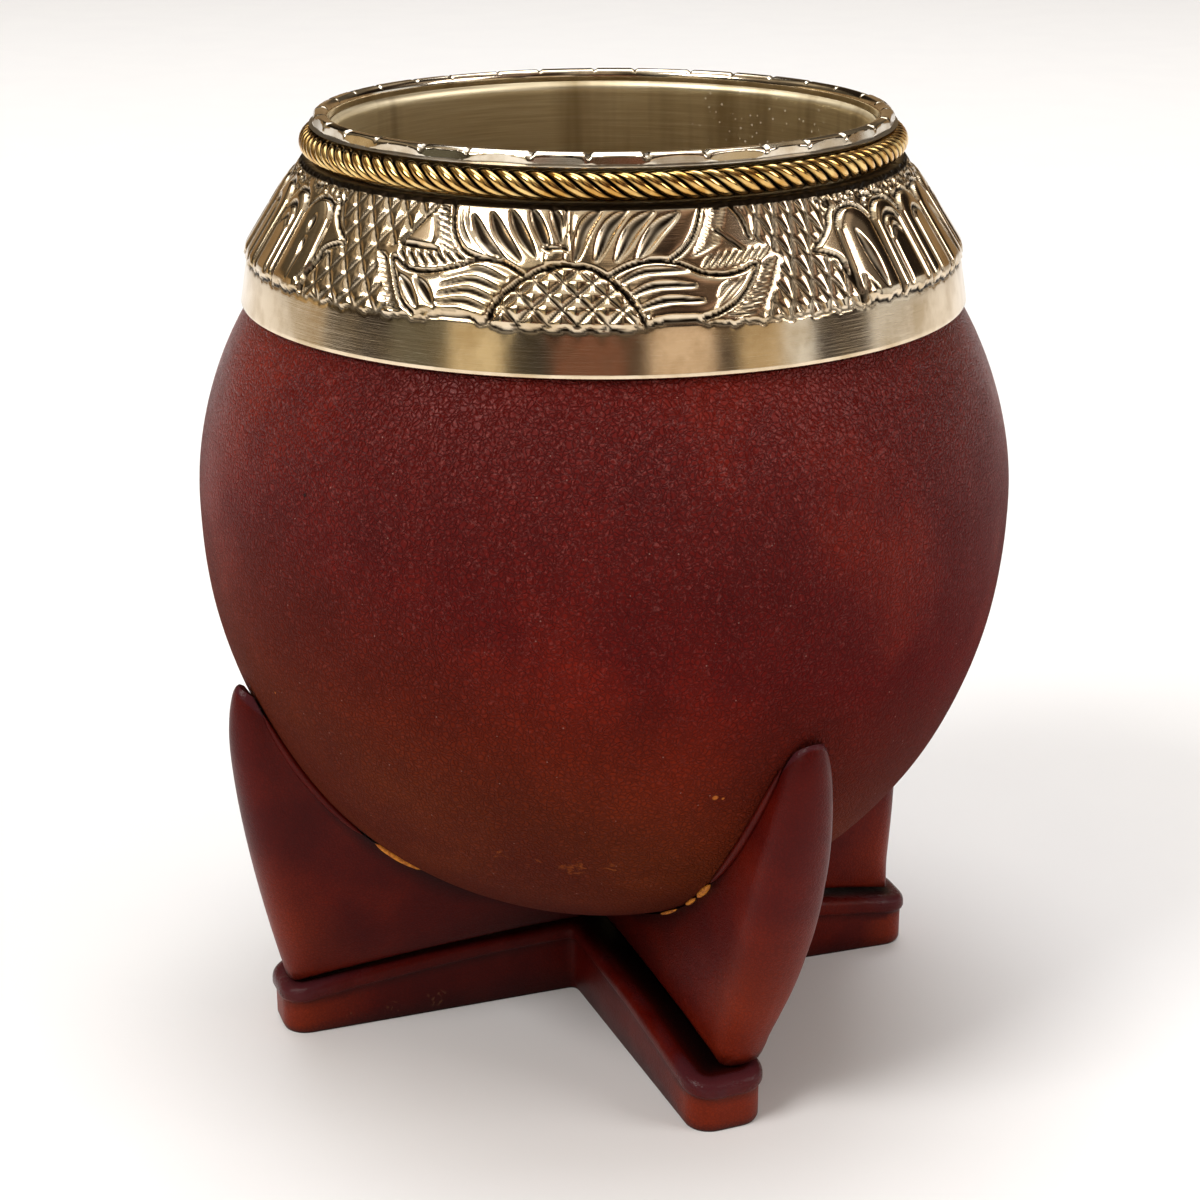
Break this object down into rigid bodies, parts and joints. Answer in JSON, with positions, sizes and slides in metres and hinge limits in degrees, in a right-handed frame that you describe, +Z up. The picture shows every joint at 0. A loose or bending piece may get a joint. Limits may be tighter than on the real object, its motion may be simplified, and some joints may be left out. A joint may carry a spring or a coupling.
{
  "type": "mate gourd cup",
  "caption": "Leather-covered mate gourd cup with a chased metal collar, a twisted rope ring, a notched rim and a cross stand with fins.",
  "frame": {"origin": "on the ground under the middle of the gourd, where the cup's axis meets the surface it stands on", "axes": "+Z up along the cup's axis; -Y towards the side with the leaning front fin; +X to the right seen from that side"},
  "size_m": [0.0956, 0.0956, 0.1104],
  "materials": {
    "calabash": "dry, matt, fine grained",
    "leather": "oxblood, pebbled, soft sheen",
    "stand_leather": "red brown, smooth, waxed",
    "nickel_silver": "polished, hand chased, darkened in the cuts",
    "brushed_liner": "brushed round the axis",
    "brass": "polished, dark between the strands"
  },
  "bodies": {
    "root": {"gourd_shell": "calabash", "leather_cover": "leather", "chased_collar": "nickel_silver", "rope_ring": "brass", "rim_ring": "nickel_silver", "mouth_liner": "brushed_liner", "base_cross": "stand_leather", "fin_right": "stand_leather", "fin_back": "stand_leather", "fin_left": "stand_leather", "fin_front": "stand_leather"}
  },
  "joints": []
}
